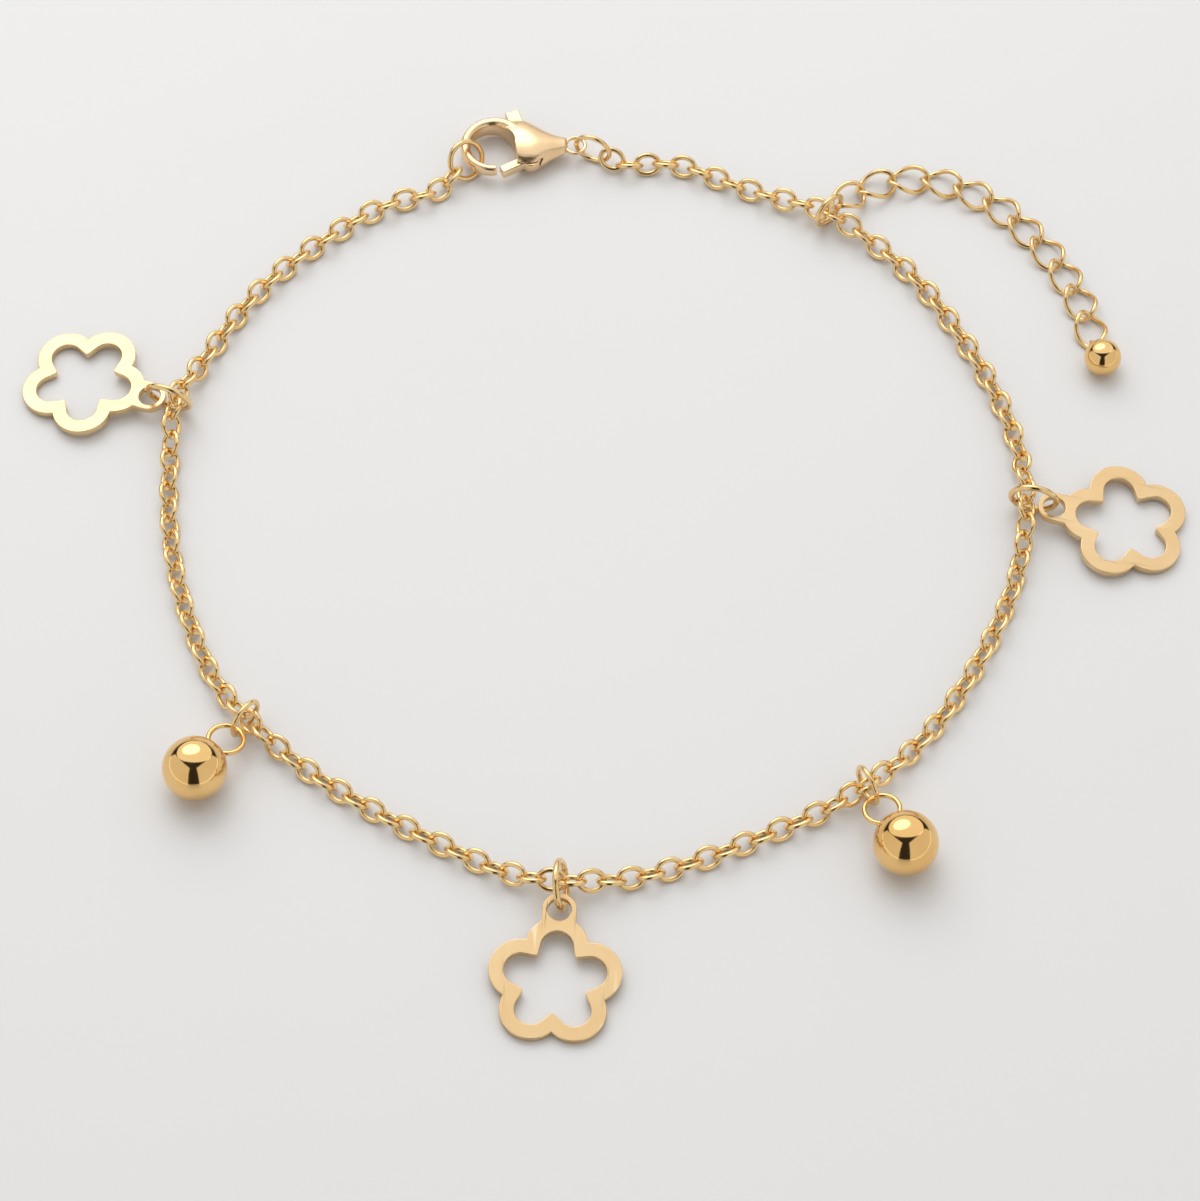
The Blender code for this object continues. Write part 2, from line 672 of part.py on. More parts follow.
def make_chain(matrix, materials, group, tools):
    """Returns the route of the chain's middle."""
    link_reach = (CHAIN_LINK_LENGTH - CHAIN_WIRE) / 2

    # Ring in the hook: it passes round the hook's band and through the chain's first link
    clasp_middle = matrix.translation + flat_direction(CLASP_RING_SEAT) * CLASP_RING_REACH
    out = flat_direction(CLASP_RING_HEADING)
    clasp_middle.z = ring_height(CLASP_RING, CLASP_RING_WIRE, CLASP_RING_LEAN)
    rise = leaning(out, CLASP_RING_LEAN)
    ring("clasp_ring", CLASP_RING, CLASP_RING_WIRE, frame_of(clasp_middle, out, rise),
         materials["wire"], group)
    first_way = out * math.cos(FIRST_LINK_DROP) - rise * math.sin(FIRST_LINK_DROP)
    strand = free_radius(CLASP_RING, CLASP_RING_WIRE) - CHAIN_WIRE / 2 - LINK_GAP - BEND_ROOM
    first = clasp_middle + first_way * (strand + link_reach)

    # Ring in the tail eye and the chain's last link
    eye = matrix @ Vector((*TAIL_EYE_PLACE, 0))
    height = ring_height(TAIL_RING, TAIL_RING_WIRE, 0)
    room = free_radius(TAIL_RING, TAIL_RING_WIRE) - TAIL_EYE_WIRE / 2 - LINK_GAP
    drop = height - eye.z
    tail_middle = eye + flat_direction(TAIL_RING_SEAT) * (
        (TAIL_EYE - TAIL_EYE_WIRE) / 2 + math.sqrt(room**2 - drop**2)
    )
    tail_middle.z = height
    out = flat_direction(TAIL_RING_HEADING)
    ring("tail_ring", TAIL_RING, TAIL_RING_WIRE, frame_of(tail_middle, out, UP), materials["wire"], group)
    last_way = out * math.cos(LAST_LINK_DROP) - UP * math.sin(LAST_LINK_DROP)
    strand = free_radius(TAIL_RING, TAIL_RING_WIRE) - CHAIN_WIRE / 2 - LINK_GAP - BEND_ROOM
    last = tail_middle + last_way * (strand + link_reach)

    base = chain_depth() / 2
    ground = Route(
        [(first.x, first.y, 0), (first.x + first_way.x * link_reach, first.y + first_way.y * link_reach, 0)]
        + [(x * MM, y * MM, 0) for x, y in CHAIN_ROUTE]
        + [(last.x + last_way.x * link_reach, last.y + last_way.y * link_reach, 0), (last.x, last.y, 0)]
    )
    lifts = []
    hangs = [(place, FLOWER_RING, FLOWER_RING_WIRE, FLOWER_SIT) for place in FLOWERS.values()]
    hangs += [(place, BALL_RING, BALL_RING_WIRE, BALL_SIT) for place in BALLS.values()]
    hangs.append((EXTENDER, EXTENDER_RING, EXTENDER_RING_WIRE, EXTENDER_SIT))
    for (x, y, _, lean), outer, wire, sit in hangs:
        lifts.append((ground.nearest(x, y), hang_height(outer, wire, math.radians(lean), sit)))
    raised = []
    for place, station in zip(ground.fine, ground.along):
        height = base
        for where, top in lifts:
            away = max(0, abs(station - where) - HANG_FLAT)
            height += (top - base) * math.exp(-((away / LIFT_SPREAD) ** 2))
        raised.append((place[0], place[1], height))
    route = ground
    route.fine = np.array(raised)

    trim = link_reach - LINK_SEAT
    marks = [trim]
    for where, _ in sorted(lifts):
        marks += [where - HANG_FLAT, where + HANG_FLAT]
    marks.append(route.length - trim)
    stations = [trim]
    for near, far in zip(marks, marks[1:]):
        stations += list(np.linspace(near, far, math.ceil((far - near) / TUBE_STEP) + 1)[1:])
    tube = mesh_of_curve(
        wire_curve("cable_chain", [route.at(s) for s in stations], chain_depth(), False, 2),
        "cable_chain", Matrix(), group,
    )
    combine(tube, "UNION", end_link("first_link", first, first_way, group), tools)
    combine(tube, "UNION", end_link("last_link", last, -last_way, group), tools)
    finish(tube, materials["wire"])
    return route


def stand_on_origin(parts, tools):
    """Move everything so that the middle of the bounding box's bottom is the origin."""
    bpy.context.view_layer.update()
    graph = bpy.context.evaluated_depsgraph_get()
    low = np.full(3, np.inf)
    high = np.full(3, -np.inf)
    for obj in parts.objects:
        seen = obj.evaluated_get(graph)
        mesh = seen.to_mesh()
        places = np.array([obj.matrix_world @ vertex.co for vertex in mesh.vertices])
        low = np.minimum(low, places.min(axis=0))
        high = np.maximum(high, places.max(axis=0))
        seen.to_mesh_clear()
    shift = Vector(((low[0] + high[0]) / 2, (low[1] + high[1]) / 2, low[2]))
    for obj in list(parts.objects) + list(tools.objects):
        obj.matrix_world = Matrix.Translation(-shift) @ obj.matrix_world


def main():
    clear_scene()
    parts = new_collection("charm_anklet")
    tools = new_collection("cutters")
    materials = {
        "wire": gold("gold_wire", (0.83, 0.58, 0.25), 0.16),
        "plate": gold("gold_plate", (0.93, 0.70, 0.40), 0.22),
        "ball": gold("gold_ball", (0.80, 0.55, 0.22), 0.06),
        "cast": gold("gold_cast", (0.86, 0.63, 0.32), 0.14),
    }
    matrix = make_clasp(parts, tools, materials)
    route = make_chain(matrix, materials, parts, tools)
    for side in FLOWERS:
        make_flower(side, route, materials, parts)
    for side in BALLS:
        make_ball(side, route, materials, parts, tools)
    make_extender(route, materials, parts, tools)
    stand_on_origin(parts, tools)


main()
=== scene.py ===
import math

import bmesh
import bpy
import numpy as np
from mathutils import Matrix, Vector


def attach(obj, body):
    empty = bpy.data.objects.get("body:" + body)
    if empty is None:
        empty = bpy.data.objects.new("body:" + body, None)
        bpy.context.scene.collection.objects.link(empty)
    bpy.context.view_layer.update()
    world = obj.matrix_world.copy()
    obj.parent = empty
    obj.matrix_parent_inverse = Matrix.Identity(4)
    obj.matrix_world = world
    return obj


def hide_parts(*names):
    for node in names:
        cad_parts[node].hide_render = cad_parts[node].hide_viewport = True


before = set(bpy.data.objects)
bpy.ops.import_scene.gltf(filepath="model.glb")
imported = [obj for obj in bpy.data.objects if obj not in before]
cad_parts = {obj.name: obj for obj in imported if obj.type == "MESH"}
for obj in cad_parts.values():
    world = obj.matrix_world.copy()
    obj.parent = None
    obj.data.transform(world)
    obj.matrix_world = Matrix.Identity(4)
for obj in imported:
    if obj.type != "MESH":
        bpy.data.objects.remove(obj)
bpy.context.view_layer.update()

MM = 0.001
UP = Vector((0, 0, 1))

# Lengths are in mm in the anklet's own frame; every mesh is turned into metres when it is finished.

# Camera: it looks down at the middle of the picture
CAMERA_AIM = (0.11, -4.49)
CAMERA_DISTANCE = 314.5
CAMERA_ELEVATION = math.radians(59.7)
CAMERA_LENS = 119.9
CAMERA_SENSOR = 36.0
CAMERA_CLIP = 10.0

# Cable chain
CHAIN_WIRE = 0.42
CHAIN_LINK_LENGTH = 2.42
CHAIN_LINK_WIDTH = 2.00
CHAIN_PITCH = 1.51
CHAIN_REST_HEIGHT = 0.769
LIFT_SPREAD = 3.0
HANG_FLAT = 0.70
LINK_LEAN = math.radians(45)
FIRST_LINK = (-12.268, 35.836, 1.119)
FIRST_LINK_WAY = (-0.6282, -0.7524, -0.1982)
LAST_LINK = (1.126, 37.717, 1.020)
LAST_LINK_WAY = (0.8773, -0.3193, -0.3584)
ROUTE_SHIFT = (0.108, -4.490)
CHAIN_ROUTE = [
    (-16.5, 38.1), (-21.8, 34.9), (-26.3, 30.9), (-30.0, 26.0), (-32.9, 20.6), (-34.2, 17.6),
    (-34.4, 14.8), (-34.3, 8.7), (-33.5, 2.6), (-31.8, -3.2), (-29.2, -8.7), (-25.2, -13.2),
    (-20.3, -17.0), (-15.1, -20.2), (-9.8, -23.0), (-4.1, -25.2), (2.0, -24.8), (7.8, -23.1),
    (13.4, -20.7), (18.9, -18.0), (23.6, -14.2), (27.4, -9.4), (30.4, -4.1), (32.7, 1.5),
    (33.8, 7.5), (33.5, 13.6), (31.8, 19.4), (29.2, 24.9), (26.0, 30.1), (21.7, 34.4),
    (16.5, 37.5), (10.8, 39.9), (5.1, 41.9),
]
# Where the chain lies in a ring: place along the route and height of the chain's middle
HANGS = [
    (-34.20, 17.60, 1.679), (-2.86, -25.40, 1.672), (33.80, 8.25, 1.690),
    (-27.27, -11.35, 1.394), (20.34, -17.16, 1.394), (18.61, 36.11, 1.521),
]

# Extender links
EXTENDER_LINKS = 11
EXTENDER_WIRE = 0.40
EXTENDER_LINK_LENGTH = 3.78
EXTENDER_LINK_WIDTH = 2.80
CURB_TWIST = math.radians(90)

# Flower charms
FLOWER_THICK = 0.60
FLOWER_EDGE = 0.05
PETALS = 5
PETAL_RADIUS = 2.385
PETAL_CENTRE = 2.75
PETAL_STRIP = 1.13
INNER_CORNER = 2.40
INNER_FILLET = 0.20
TAB_RADIUS = 1.30
TAB_HOLE = 0.90
TAB_REACH = 5.75

# Jump rings: width of the opening, and its turn from the ring's start
SEAM = 0.04
SEAM_TURN = math.pi * 0.62

# Ball charms: each eyelet's outer diameter and wire, and the solder's radius in wires and its flatness
EYELETS = {"ball_left": (3.10, 0.40), "ball_right": (3.10, 0.40), "extender_ball": (1.34, 0.30)}
SOLDER_SIZE = 1.35
SOLDER_FLATNESS = 0.30

# Clasp: places are from the middle of the hook's opening
CLASP_PLACE = (-8.872, 38.640, 1.20)
CLASP_HEADING = math.radians(-1)
CLASP_THICK = 2.40
OPENING_RADIUS = 1.86
HOOK_ROOT = math.radians(42)
HOOK_TIP = math.radians(280)
HOOK_ROOT_BAND = 1.10
HOOK_TIP_BAND = 0.70
HOOK_ROOT_THICK = 2.06
HOOK_TIP_THICK = 1.00
NOSE_SIDE = 2.05
NOSE_TOP = -1.10
TAIL_EYE = 2.00
TAIL_EYE_WIRE = 0.36
TAIL_EYE_PLACE = (6.91, 0.47, 0)
PIVOT = (3.20, -1.05, 0)
LEVER_HUB = 0.95
LEVER_THICK = 0.90
LEVER_EDGE = 0.10
LEVER_WIDTH = 0.75
LEVER_REACH = 2.78
LEVER_ANGLE = math.radians(210)
LEVER_SWING = math.radians(28)
THUMB_WIDTH = 1.20
THUMB_REACH = 5.03
THUMB_ANGLE = math.radians(110)
THUMB_SLOT_REACH = 7.50
SLOT_END = math.radians(300)
SLOT_GAP = 0.09
PIN_RADIUS = 0.35
PIN_LENGTH = 1.60
PIN_GAP = 0.06
BODY_SECTIONS = [
    (0.45, 0.90, 0.90, 0.50), (0.80, 0.75, 1.60, 0.85), (1.40, 0.55, 2.20, 1.10), (2.00, 0.45, 2.42, 1.20),
    (2.60, 0.35, 2.48, 1.20), (3.20, 0.22, 2.32, 1.16), (3.70, 0.12, 2.12, 1.08), (4.20, 0.15, 1.75, 0.97),
    (4.80, 0.23, 1.33, 0.83), (5.40, 0.30, 1.03, 0.68), (6.10, 0.42, 0.78, 0.52),
]
HOOK_SQUARENESS = 2.6
CAST_GRAIN = 0.06
CAST_SOFTNESS = 0.5
CAST_SMOOTHING = 2

# Fineness
WIRE_RESOLUTION = 4
EDGE_RESOLUTION = 2
MERGE_REACH = 0.0005
LINK_POINTS = 24
CURB_POINTS = 40
RING_POINTS = 64
ARC_STEP = math.radians(6)
SPAN_STEPS = 40
CORNER_DIGITS = 3
PLATE_FACE = 0.995
WEAR_STRIP = 0.05
HEADING_REACH = 0.3
SPHERE_SIDES = 96
BODY_SIDES, BODY_STEPS = 48, 40
HOOK_SIDES, HOOK_STEPS = 28, 72

# Limits past which a direction is too near upright to be turned from
LEAST_TILT = 0.1
STEEPEST = 0.9


# Materials

# Golds: base and warm tone, roughness, strength of the marks, patches per metre, and wear at the edges
GOLDS = {
    "gold_wire": ((0.92, 0.68, 0.35), (0.86, 0.60, 0.28), 0.12, 0.05, 900, 0.0),
    "gold_plate": ((0.81, 0.60, 0.34), (0.78, 0.55, 0.29), 0.25, 0.05, 260, 0.5),
    "gold_ball": ((0.92, 0.62, 0.27), (0.88, 0.55, 0.21), 0.09, 0.03, 320, 0.0),
    "gold_cast": ((0.92, 0.69, 0.43), (0.89, 0.63, 0.36), 0.23, 0.05, 420, 0.4),
}
PLAIN_GOLD = (0.9, 0.6, 0.3, 1)
WORN_GOLD = (1.0, 0.86, 0.62, 1)
# Tone: the noise's detail, and the values between which the base tone turns into the warm one
TONE_DETAIL = 3.0
TONE_RANGE = (0.35, 0.65)
# Marks: turn and scale of the hairs, scale of the smears that break them up, and how the bump shows them
HAIR_TURN = (0.4, 0.2, 0.7)
HAIR_SCALE = (1400, 9000, 9000)
HAIR_DETAIL = 4.0
SMEAR_SCALE = 700.0
BUMP_STRENGTH = 0.05
BUMP_DISTANCE = 0.00002
# Pointiness at which wear starts and at which it is full
WEAR_RANGE = (0.53, 0.62)


def new_group(name, inputs, outputs):
    """An empty shader group with named sockets, and its two end nodes."""
    group = bpy.data.node_groups.new(name, "ShaderNodeTree")
    for label, kind, value in inputs:
        socket = group.interface.new_socket(name=label, in_out="INPUT", socket_type=kind)
        socket.default_value = value
    for label, kind in outputs:
        group.interface.new_socket(name=label, in_out="OUTPUT", socket_type=kind)
    return group, group.nodes.new("NodeGroupInput"), group.nodes.new("NodeGroupOutput")


def plating_tone():
    """Slow drift between two golds, as a plated finish has."""
    group, given, result = new_group(
        "plating_tone",
        [("Base", "NodeSocketColor", PLAIN_GOLD), ("Warm", "NodeSocketColor", PLAIN_GOLD),
         ("Patches per metre", "NodeSocketFloat", 300.0)],
        [("Color", "NodeSocketColor")],
    )
    place = group.nodes.new("ShaderNodeTexCoord")
    cloud = group.nodes.new("ShaderNodeTexNoise")
    cloud.inputs["Detail"].default_value = TONE_DETAIL
    ramp = group.nodes.new("ShaderNodeMapRange")
    ramp.inputs["From Min"].default_value, ramp.inputs["From Max"].default_value = TONE_RANGE
    mix = group.nodes.new("ShaderNodeMix")
    mix.data_type = "RGBA"
    link = group.links.new
    link(place.outputs["Object"], cloud.inputs["Vector"])
    link(given.outputs["Patches per metre"], cloud.inputs["Scale"])
    link(cloud.outputs["Fac"], ramp.inputs["Value"])
    link(ramp.outputs["Result"], mix.inputs["Factor"])
    link(given.outputs["Base"], mix.inputs["A"])
    link(given.outputs["Warm"], mix.inputs["B"])
    link(mix.outputs["Result"], result.inputs["Color"])
    return group


def polish_marks():
    """Hairline polishing marks: a roughness that varies and a height for a bump."""
    group, given, result = new_group(
        "polish_marks",
        [("Roughness", "NodeSocketFloat", 0.2), ("Marks", "NodeSocketFloat", 0.05)],
        [("Roughness", "NodeSocketFloat"), ("Height", "NodeSocketFloat")],
    )
    place = group.nodes.new("ShaderNodeTexCoord")
    stretch = group.nodes.new("ShaderNodeMapping")
    stretch.inputs["Rotation"].default_value = HAIR_TURN
    stretch.inputs["Scale"].default_value = HAIR_SCALE
    hairs = group.nodes.new("ShaderNodeTexNoise")
    hairs.inputs["Scale"].default_value = 1.0
    hairs.inputs["Detail"].default_value = HAIR_DETAIL
    smears = group.nodes.new("ShaderNodeTexNoise")
    smears.inputs["Scale"].default_value = SMEAR_SCALE
    blend = group.nodes.new("ShaderNodeMath")
    blend.operation = "MULTIPLY"
    spread = group.nodes.new("ShaderNodeMath")
    spread.operation = "MULTIPLY_ADD"
    link = group.links.new
    link(place.outputs["Object"], stretch.inputs["Vector"])
    link(stretch.outputs["Vector"], hairs.inputs["Vector"])
    link(place.outputs["Object"], smears.inputs["Vector"])
    link(hairs.outputs["Fac"], blend.inputs[0])
    link(smears.outputs["Fac"], blend.inputs[1])
    link(blend.outputs["Value"], spread.inputs[0])
    link(given.outputs["Marks"], spread.inputs[1])
    link(given.outputs["Roughness"], spread.inputs[2])
    link(spread.outputs["Value"], result.inputs["Roughness"])
    link(hairs.outputs["Fac"], result.inputs["Height"])
    return group


def worn_edges():
    """Mask of outward edges, where handling has brightened the plating."""
    group, given, result = new_group(
        "worn_edges",
        [("Color", "NodeSocketColor", PLAIN_GOLD), ("Worn", "NodeSocketColor", WORN_GOLD),
         ("Amount", "NodeSocketFloat", 0.5)],
        [("Color", "NodeSocketColor")],
    )
    form = group.nodes.new("ShaderNodeNewGeometry")
    edge = group.nodes.new("ShaderNodeMapRange")
    edge.inputs["From Min"].default_value, edge.inputs["From Max"].default_value = WEAR_RANGE
    share = group.nodes.new("ShaderNodeMath")
    share.operation = "MULTIPLY"
    mix = group.nodes.new("ShaderNodeMix")
    mix.data_type = "RGBA"
    link = group.links.new
    link(form.outputs["Pointiness"], edge.inputs["Value"])
    link(edge.outputs["Result"], share.inputs[0])
    link(given.outputs["Amount"], share.inputs[1])
    link(share.outputs["Value"], mix.inputs["Factor"])
    link(given.outputs["Color"], mix.inputs["A"])
    link(given.outputs["Worn"], mix.inputs["B"])
    link(mix.outputs["Result"], result.inputs["Color"])
    return group


def polished_gold(name, look, groups):
    base, warm, roughness, mark_strength, patches, edge_wear = look
    tone, marks, edges = groups
    material = bpy.data.materials.new(name)
    material.use_nodes = True
    nodes = material.node_tree.nodes
    link = material.node_tree.links.new
    shader = nodes["Principled BSDF"]
    shader.inputs["Metallic"].default_value = 1.0
    colour = nodes.new("ShaderNodeGroup")
    colour.node_tree = tone
    colour.inputs["Base"].default_value = (*base, 1)
    colour.inputs["Warm"].default_value = (*warm, 1)
    colour.inputs["Patches per metre"].default_value = patches
    wear = nodes.new("ShaderNodeGroup")
    wear.node_tree = edges
    wear.inputs["Amount"].default_value = edge_wear
    hair = nodes.new("ShaderNodeGroup")
    hair.node_tree = marks
    hair.inputs["Roughness"].default_value = roughness
    hair.inputs["Marks"].default_value = mark_strength
    bump = nodes.new("ShaderNodeBump")
    bump.inputs["Strength"].default_value = BUMP_STRENGTH
    bump.inputs["Distance"].default_value = BUMP_DISTANCE
    link(colour.outputs["Color"], wear.inputs["Color"])
    link(wear.outputs["Color"], shader.inputs["Base Color"])
    link(hair.outputs["Roughness"], shader.inputs["Roughness"])
    link(hair.outputs["Height"], bump.inputs["Height"])
    link(bump.outputs["Normal"], shader.inputs["Normal"])
    return material


def make_materials():
    groups = (plating_tone(), polish_marks(), worn_edges())
    return {slot: polished_gold(slot + "_polished", look, groups) for slot, look in GOLDS.items()}


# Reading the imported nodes

def points_of(node):
    """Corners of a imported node's mesh, in mm, each counted once."""
    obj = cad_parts[node]
    corners = np.array([obj.matrix_world @ vertex.co for vertex in obj.data.vertices]) / MM
    return np.unique(corners.round(CORNER_DIGITS), axis=0)


def lie_of(points):
    """Middle of a ring or link, and its main directions with the longest first."""
    middle = points.mean(axis=0)
    directions = np.linalg.svd(points - middle, full_matrices=False)[2]
    return Vector(middle), [Vector(row) for row in directions]


def frame_of(origin, first, second):
    """Matrix whose X runs along first and whose Y lies in the plane of first and second."""
    x_axis = first.normalized()
    z_axis = x_axis.cross(second).normalized()
    y_axis = z_axis.cross(x_axis)
    matrix = Matrix((x_axis, y_axis, z_axis)).transposed().to_4x4()
    matrix.translation = origin
    return matrix


def leaning(direction, lean):
    """The way up inside a plane that holds the direction and leans from upright about it."""
    side = UP.cross(direction).normalized()
    return UP * math.cos(lean) + side * math.sin(lean)


def new_object(name, data):
    """An object that is in the scene."""
    obj = bpy.data.objects.new(name, data)
    bpy.context.scene.collection.objects.link(obj)
    return obj


# Curves

class Route:
    """A smooth curve through chosen points of any number of values, read by the distance along it."""

    def __init__(self, points):
        knots = np.array(points, dtype=float)
        spans = np.linalg.norm(np.diff(knots, axis=0), axis=1)
        count = len(knots)
        system = np.eye(count)
        right = np.zeros_like(knots)
        for i in range(1, count - 1):
            before, after = spans[i - 1], spans[i]
            system[i, i - 1:i + 2] = before, 2 * (before + after), after
            right[i] = 6 * ((knots[i + 1] - knots[i]) / after - (knots[i] - knots[i - 1]) / before)
        bend = np.linalg.solve(system, right)
        fine = []
        for i in range(count - 1):
            for share in np.linspace(0, 1, SPAN_STEPS, endpoint=False):
                low, high = 1 - share, share
                fine.append(
                    low * knots[i] + high * knots[i + 1]
                    + ((low**3 - low) * bend[i] + (high**3 - high) * bend[i + 1]) * spans[i] ** 2 / 6
                )
        fine.append(knots[-1])
        self.fine = np.array(fine)
        steps = np.linalg.norm(np.diff(self.fine, axis=0), axis=1)
        self.along = np.concatenate([[0.0], np.cumsum(steps)])
        self.length = self.along[-1]

    def at(self, station):
        return Vector([
            float(np.interp(station, self.along, self.fine[:, axis])) for axis in range(self.fine.shape[1])
        ])

    def heading(self, station):
        return (self.at(station + HEADING_REACH) - self.at(station - HEADING_REACH)).normalized()

    def nearest(self, x, y):
        return float(self.along[np.argmin(np.hypot(self.fine[:, 0] - x, self.fine[:, 1] - y))])


def arc(centre, radius, start, end):
    steps = max(2, round(abs(end - start) / ARC_STEP))
    angles = np.linspace(start, end, steps + 1)
    return [(centre[0] + radius * math.cos(a), centre[1] + radius * math.sin(a)) for a in angles]


def full_turn(count):
    return np.linspace(0, 2 * math.pi, count, endpoint=False)


def circle(radius, turns):
    return [Vector((radius * math.cos(t), radius * math.sin(t), 0)) for t in turns]


def oval(length, width, wire, twist, count):
    """Middle line of an oval link along X; its ends are turned by half the twist each way."""
    reach = (length - wire) / 2
    half = (width - wire) / 2
    points = []
    for k in range(count):
        turn = 2 * math.pi * k / count
        x = reach * math.cos(turn)
        y = half * math.sin(turn)
        roll = twist / 2 * x / reach
        points.append(Vector((x, y * math.cos(roll), y * math.sin(roll))))
    return points


def wires(name, loops, wire, closed):
    """Curve of round wire along one or more lines of points."""
    curve = bpy.data.curves.new(name, "CURVE")
    curve.dimensions = "3D"
    curve.bevel_depth = wire / 2
    curve.bevel_resolution = WIRE_RESOLUTION
    curve.use_fill_caps = not closed
    for points in loops:
        spline = curve.splines.new("POLY")
        spline.points.add(len(points) - 1)
        for point, place in zip(spline.points, points):
            point.co = (*place, 1)
        spline.use_cyclic_u = closed
    return curve


def plate(name, outlines, thick, edge):
    """Curve of a flat plate with softened edges."""
    curve = bpy.data.curves.new(name, "CURVE")
    curve.dimensions = "2D"
    curve.fill_mode = "BOTH"
    curve.extrude = thick / 2 - edge
    curve.bevel_depth = edge
    curve.bevel_resolution = EDGE_RESOLUTION
    curve.offset = -edge
    for outline in outlines:
        spline = curve.splines.new("POLY")
        spline.points.add(len(outline) - 1)
        for point, (x, y) in zip(spline.points, outline):
            point.co = (x, y, 0, 1)
        spline.use_cyclic_u = True
    return curve


def mesh_of(curve, matrix):
    """The curve's mesh at the matrix, as an object in mm."""
    holder = new_object(curve.name + "_curve", curve)
    bpy.context.view_layer.update()
    mesh = bpy.data.meshes.new_from_object(holder.evaluated_get(bpy.context.evaluated_depsgraph_get()))
    bpy.data.objects.remove(holder, do_unlink=True)
    mesh.transform(matrix)
    work = bmesh.new()
    work.from_mesh(mesh)
    bmesh.ops.remove_doubles(work, verts=work.verts, dist=MERGE_REACH)
    bmesh.ops.recalc_face_normals(work, faces=work.faces)
    work.to_mesh(mesh)
    work.free()
    return new_object(curve.name, mesh)


def loft(name, sections):
    """A closed solid through rings of points with the same count, with flat ends."""
    work = bmesh.new()
    rings = [[work.verts.new(point) for point in section] for section in sections]
    sides = len(rings[0])
    for near, far in zip(rings, rings[1:]):
        for i in range(sides):
            j = (i + 1) % sides
            work.faces.new((near[i], near[j], far[j], far[i]))
    work.faces.new(reversed(rings[0]))
    work.faces.new(rings[-1])
    bmesh.ops.recalc_face_normals(work, faces=work.faces)
    mesh = bpy.data.meshes.new(name)
    work.to_mesh(mesh)
    work.free()
    return new_object(name, mesh)


def combine(obj, operation, other):
    modifier = obj.modifiers.new(operation.title(), "BOOLEAN")
    modifier.operation = operation
    modifier.solver = "EXACT"
    modifier.object = other
    apply_modifiers(obj)
    bpy.data.objects.remove(other, do_unlink=True)


def apply_modifiers(obj):
    bpy.context.view_layer.update()
    graph = bpy.context.evaluated_depsgraph_get()
    mesh = bpy.data.meshes.new_from_object(obj.evaluated_get(graph))
    obj.modifiers.clear()
    obj.data = mesh


def join(parts):
    """One mesh from several; the first keeps its name."""
    work = bmesh.new()
    for part in parts:
        work.from_mesh(part.data)
    work.to_mesh(parts[0].data)
    work.free()
    for part in parts[1:]:
        bpy.data.objects.remove(part, do_unlink=True)
    return parts[0]


def finish_piece(obj, materials, slot, body, *nodes):
    """Metres, finish, body and the nodes that the piece stands for."""
    obj.data.transform(Matrix.Scale(MM, 4))
    obj.data.materials.clear()
    obj.data.materials.append(materials[slot])
    obj.data.shade_smooth()
    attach(obj, body)
    if nodes:
        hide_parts(*nodes)
    return obj


def keep_faces_flat(obj, normal):
    """Flat shading on a plate's two faces, with a narrow strip round them that keeps the wear at the edge."""
    work = bmesh.new()
    work.from_mesh(obj.data)
    flat = [face for face in work.faces if abs(face.normal.dot(normal)) > PLATE_FACE]
    bmesh.ops.inset_region(work, faces=flat, thickness=WEAR_STRIP * MM, use_even_offset=True)
    for face in work.faces:
        face.smooth = abs(face.normal.dot(normal)) < PLATE_FACE
    work.to_mesh(obj.data)
    work.free()
    return obj


# Cable chain

def chain_way():
    """Route of the chain's middle from its first link to its last."""
    reach = (CHAIN_LINK_LENGTH - CHAIN_WIRE) / 2
    first, first_way = Vector(FIRST_LINK), Vector(FIRST_LINK_WAY)
    last, last_way = Vector(LAST_LINK), Vector(LAST_LINK_WAY)
    after = first + first_way * reach
    before = last + last_way * reach
    ground = Route(
        [(first.x, first.y, 0), (after.x, after.y, 0)]
        + [(x + ROUTE_SHIFT[0], y + ROUTE_SHIFT[1], 0) for x, y in CHAIN_ROUTE]
        + [(before.x, before.y, 0), (last.x, last.y, 0)]
    )
    stations = ground.along
    height = np.full(len(stations), CHAIN_REST_HEIGHT)
    for x, y, top in HANGS:
        where = ground.nearest(x + ROUTE_SHIFT[0], y + ROUTE_SHIFT[1])
        away = np.maximum(0, np.abs(stations - where) - HANG_FLAT)
        height += (top - CHAIN_REST_HEIGHT) * np.exp(-((away / LIFT_SPREAD) ** 2))
    for end, way, distance in (
        (first, first_way, stations), (last, last_way, ground.length - stations),
    ):
        slope = way.z / math.hypot(way.x, way.y)
        straight = end.z + slope * distance
        share = np.clip(1 - distance / (2 * reach), 0, 1)
        height = height * (1 - share) + straight * share
    ground.fine[:, 2] = height
    return ground


def make_chain(materials):
    """The real interlocked links, each across its neighbours."""
    route = chain_way()
    count = round(route.length / CHAIN_PITCH)
    shape = oval(CHAIN_LINK_LENGTH, CHAIN_LINK_WIDTH, CHAIN_WIRE, 0, LINK_POINTS)
    loops = []
    for k in range(count + 1):
        station = route.length * k / count
        ahead = route.heading(station)
        if k == 0:
            ahead = Vector(FIRST_LINK_WAY)
        if k == count:
            ahead = -Vector(LAST_LINK_WAY)
        side = 1 if k % 2 == 0 else -1
        across = leaning(ahead, side * (math.pi / 2 - LINK_LEAN))
        matrix = frame_of(route.at(station), ahead, across)
        loop = [matrix @ point for point in shape]
        lift = UP * max(0, CHAIN_WIRE / 2 - min(point.z for point in loop))
        loops.append([point + lift for point in loop])
    links = mesh_of(wires("chain_links", loops, CHAIN_WIRE, True), Matrix())
    return finish_piece(links, materials, "gold_wire", "anklet", "cable_chain")


# Jump rings and extender

